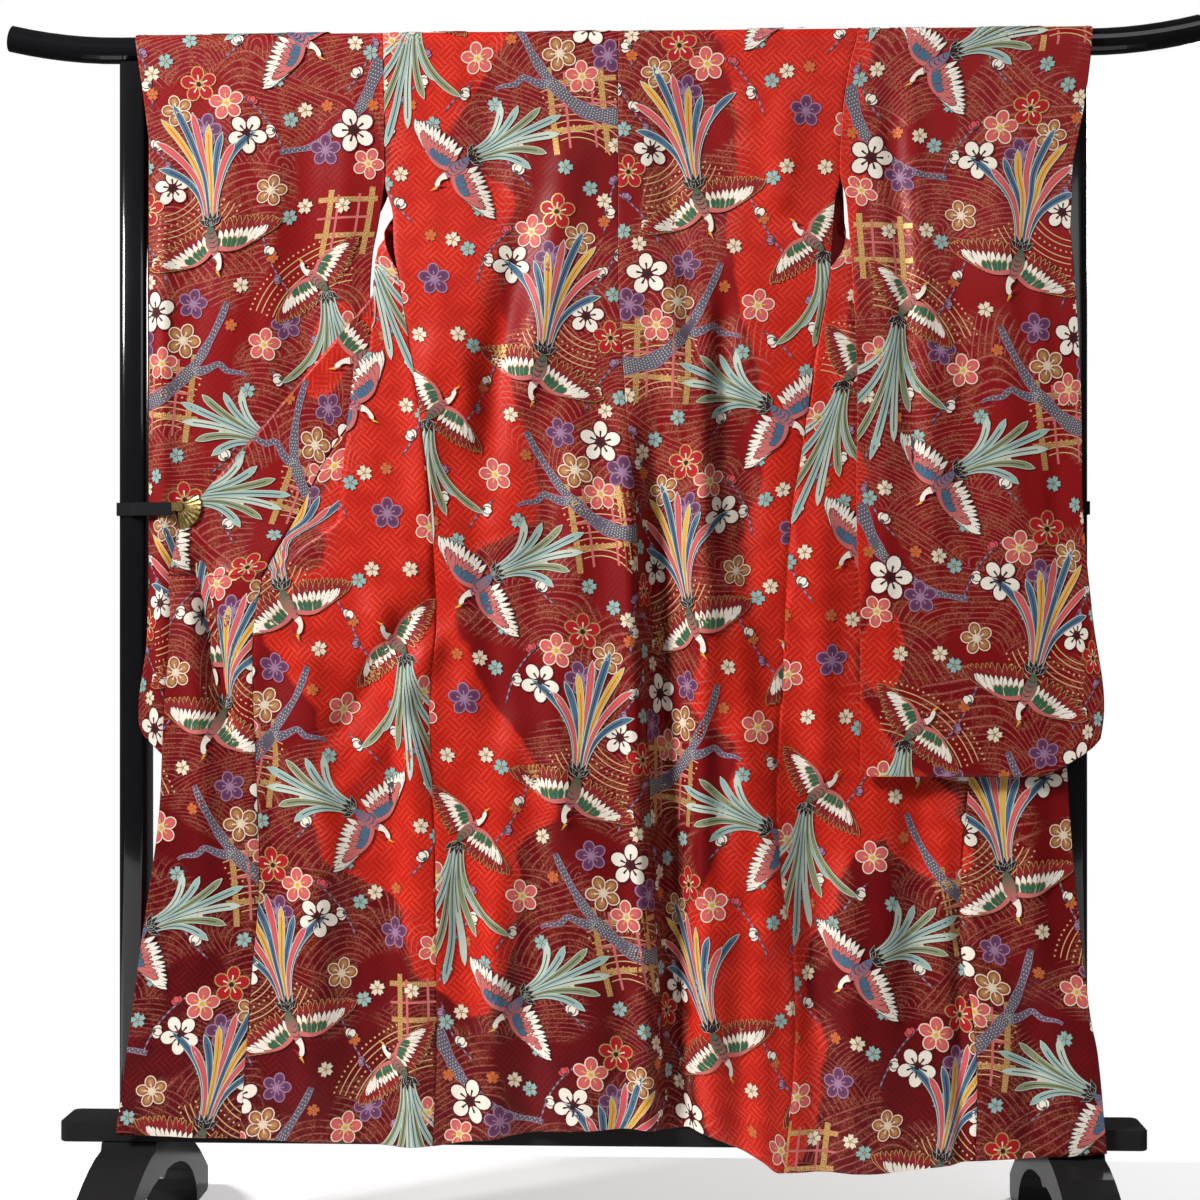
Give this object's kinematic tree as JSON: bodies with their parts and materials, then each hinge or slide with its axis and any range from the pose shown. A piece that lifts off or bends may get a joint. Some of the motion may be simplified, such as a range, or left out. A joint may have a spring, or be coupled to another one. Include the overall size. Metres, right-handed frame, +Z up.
{
  "type": "furisode on a kimono stand",
  "caption": "Long-sleeved formal kimono hung open by its shoulders over the bar of a lacquered stand on arched feet, its fronts clipped out to the posts.",
  "frame": {"origin": "on the floor under the middle of the stand: the bottom centre of the whole part's box", "axes": "+Z up, +X along the bar towards the viewer's right, -Y towards the viewer, who sees the back of the furisode"},
  "size_m": [1.732, 0.58, 1.7821],
  "materials": {
    "scarlet_silk": "lined figured silk, soft sheen",
    "crimson_silk": "lined figured silk, soft sheen",
    "black_lacquer": "black lacquer on wood, glossy",
    "black_ribbon": "plain black ribbon",
    "gilt_brass": "pale gilt metal, satin"
  },
  "bodies": {
    "root": {"back_left": "scarlet_silk", "back_right": "scarlet_silk", "front_left": "scarlet_silk", "front_right": "scarlet_silk", "okumi_left": "crimson_silk", "okumi_right": "crimson_silk", "collar": "crimson_silk", "sleeve_left": "crimson_silk", "sleeve_right": "crimson_silk", "bar": "black_lacquer", "post_left": "black_lacquer", "post_right": "black_lacquer", "beam": "black_lacquer", "foot_left": "black_lacquer", "foot_right": "black_lacquer", "strap_left": "black_ribbon", "strap_right": "black_ribbon", "clip_left": "gilt_brass", "clip_right": "gilt_brass"}
  },
  "joints": []
}
